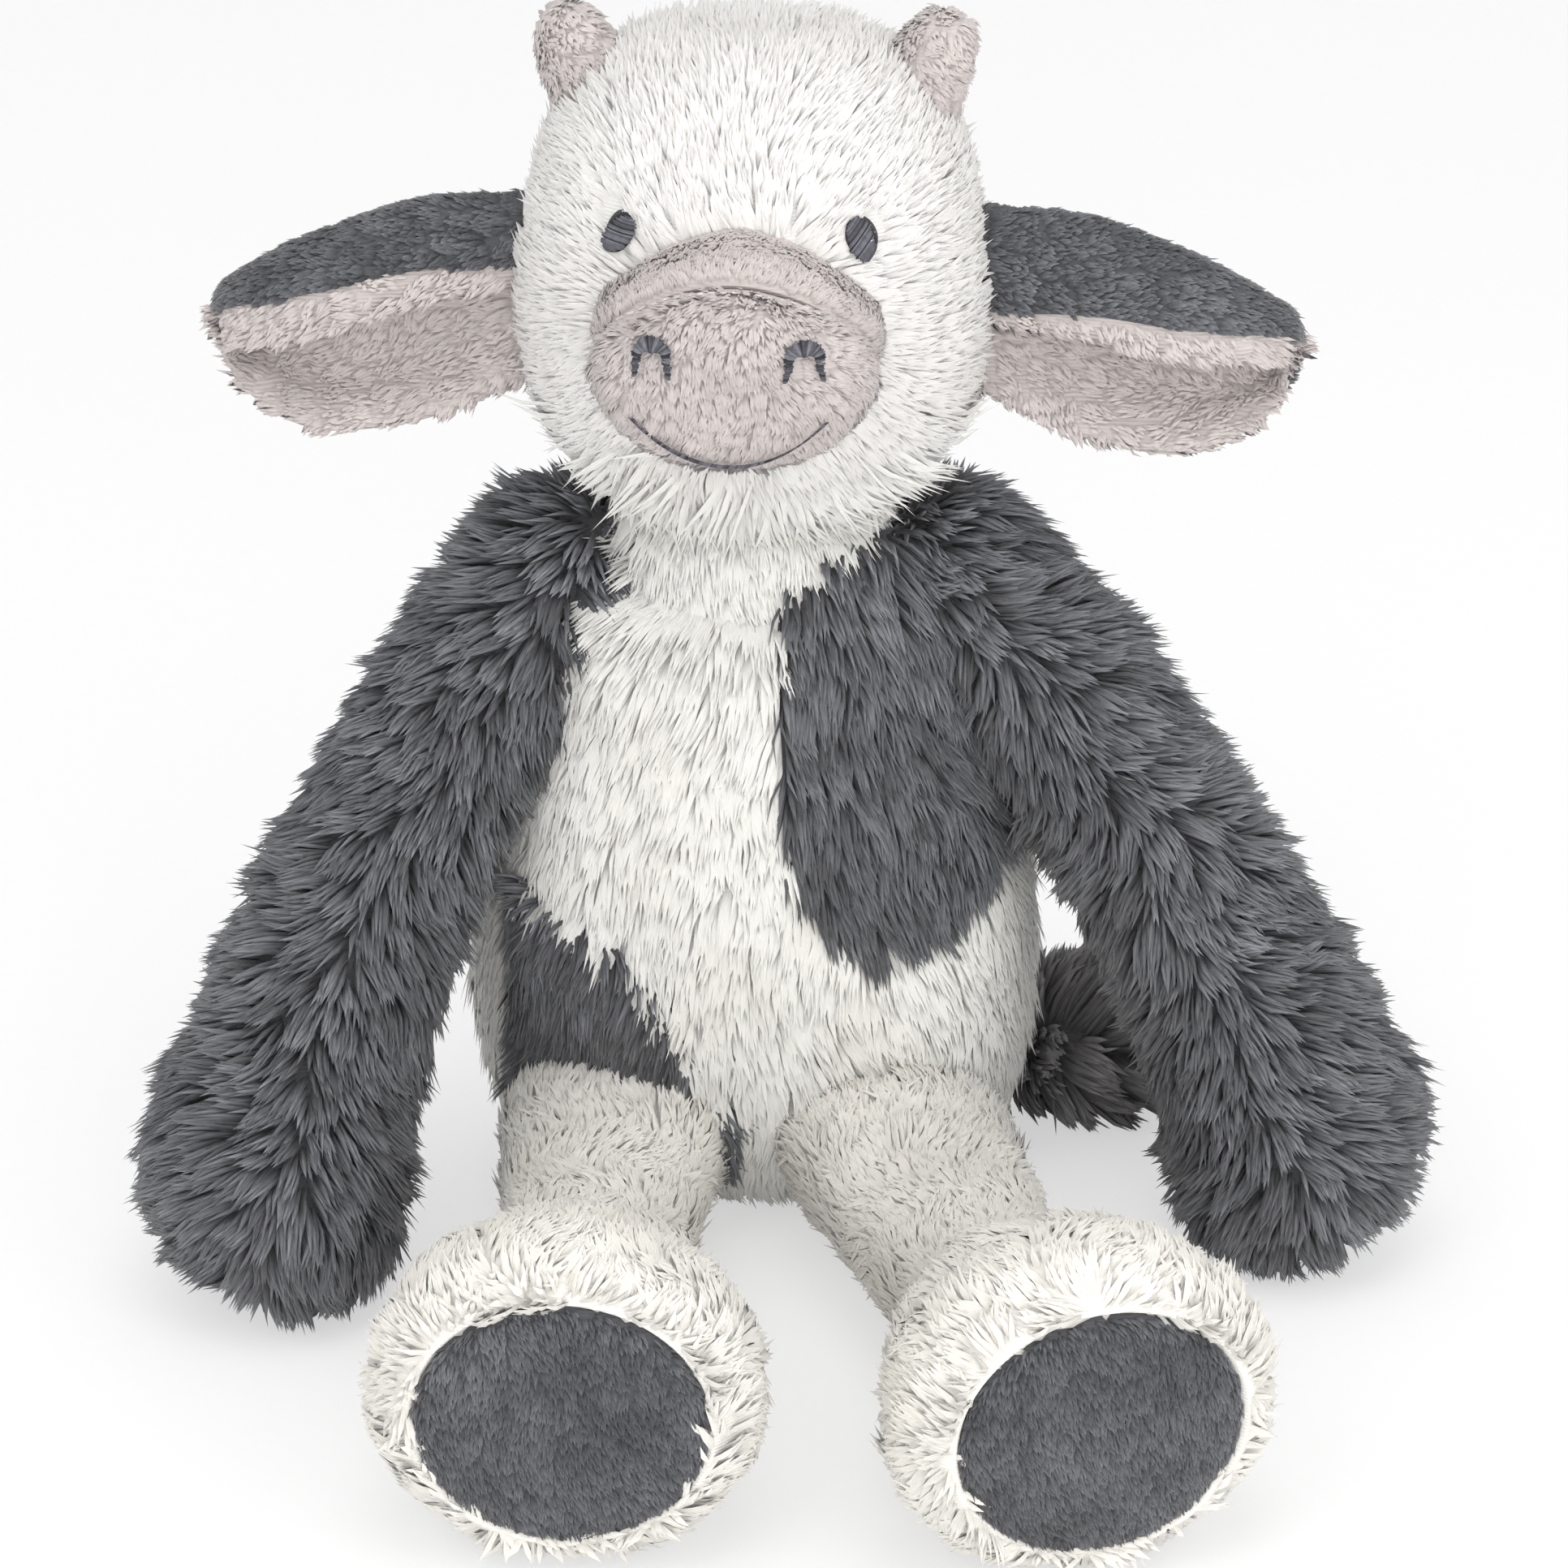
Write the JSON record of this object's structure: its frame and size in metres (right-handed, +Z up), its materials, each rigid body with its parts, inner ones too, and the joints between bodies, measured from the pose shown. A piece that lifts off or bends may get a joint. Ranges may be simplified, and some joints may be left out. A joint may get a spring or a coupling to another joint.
{
  "type": "plush cow",
  "caption": "Seated plush cow in long and short pile fabric over filling, with a nodding head, flapping ears, lifting arms, swinging legs and a tufted tail.",
  "frame": {"origin": "middle of the flat that the seated cow's body rests on", "axes": "+Z up, -Y the way the cow faces, +X towards the cow's own left"},
  "size_m": [0.2665, 0.2462, 0.2671],
  "materials": {
    "white_fur": "long white pile, lying down",
    "cream_fur": "short creamy white plush",
    "charcoal_fur": "long charcoal pile, lying down",
    "charcoal_pile": "short charcoal pile",
    "taupe_pile": "short taupe pile",
    "dark_tuft": "long near-black pile",
    "thread": "satin stitch embroidery thread",
    "filling": "loose fibre filling"
  },
  "bodies": {
    "body": {"body_skin": "white_fur", "chest_patch": "charcoal_fur", "hip_patch": "charcoal_fur", "body_stuffing": "filling"},
    "head": {"head_skin": "white_fur", "head_stuffing": "filling", "muzzle_bridge": "taupe_pile", "muzzle_pad": "taupe_pile", "muzzle_stuffing": "filling", "eye_left": "thread", "eye_right": "thread", "nostril_left": "thread", "nostril_right": "thread", "mouth_stitch": "thread", "horn_left": "taupe_pile", "horn_right": "taupe_pile", "horn_stuffing_left": "filling", "horn_stuffing_right": "filling"},
    "ear_left": {"ear_back_left": "charcoal_pile", "ear_lining_left": "taupe_pile"},
    "ear_right": {"ear_back_right": "charcoal_pile", "ear_lining_right": "taupe_pile"},
    "arm_left": {"arm_skin_left": "charcoal_fur", "arm_stuffing_left": "filling"},
    "arm_right": {"arm_skin_right": "charcoal_fur", "arm_stuffing_right": "filling"},
    "leg_left": {"leg_skin_left": "cream_fur", "leg_stuffing_left": "filling", "sole_left": "charcoal_pile"},
    "leg_right": {"leg_skin_right": "cream_fur", "leg_stuffing_right": "filling", "sole_right": "charcoal_pile"},
    "tail": {"tail_cord": "charcoal_pile", "tail_tuft": "dark_tuft"}
  },
  "joints": [
    {"name": "neck", "type": "hinge", "parent": "body", "child": "head", "pos_m": [0, -0.006, 0.148], "axis": [1, 0, 0], "range_deg": [-10, 15]},
    {"name": "ear_left", "type": "hinge", "parent": "head", "child": "ear_left", "pos_m": [0.0509, -0.015, 0.206], "axis": [0, 0, -1], "range_deg": [-25, 25], "stiffness_Nm_per_rad": 0.004},
    {"name": "ear_right", "type": "hinge", "parent": "head", "child": "ear_right", "pos_m": [-0.05059, -0.00701, 0.206], "axis": [0, 0, 1], "range_deg": [-25, 25], "stiffness_Nm_per_rad": 0.004},
    {"name": "shoulder_left", "type": "hinge", "parent": "body", "child": "arm_left", "pos_m": [0.04, -0.002, 0.1385], "axis": [0, -1, 0], "range_deg": [0, 50]},
    {"name": "shoulder_right", "type": "hinge", "parent": "body", "child": "arm_right", "pos_m": [-0.04, -0.002, 0.1385], "axis": [0, 1, 0], "range_deg": [0, 50]},
    {"name": "hip_left", "type": "hinge", "parent": "body", "child": "leg_left", "pos_m": [0.03, -0.045, 0.0262], "axis": [-0.9636, -0.2672, 0], "range_deg": [-60, 15]},
    {"name": "hip_right", "type": "hinge", "parent": "body", "child": "leg_right", "pos_m": [-0.03, -0.037, 0.0262], "axis": [-0.9986, 0.0523, 0], "range_deg": [-60, 15]},
    {"name": "tail", "type": "hinge", "parent": "body", "child": "tail", "pos_m": [0, 0.0425, 0.014], "axis": [0, 0, 1], "range_deg": [0, 50]}
  ]
}
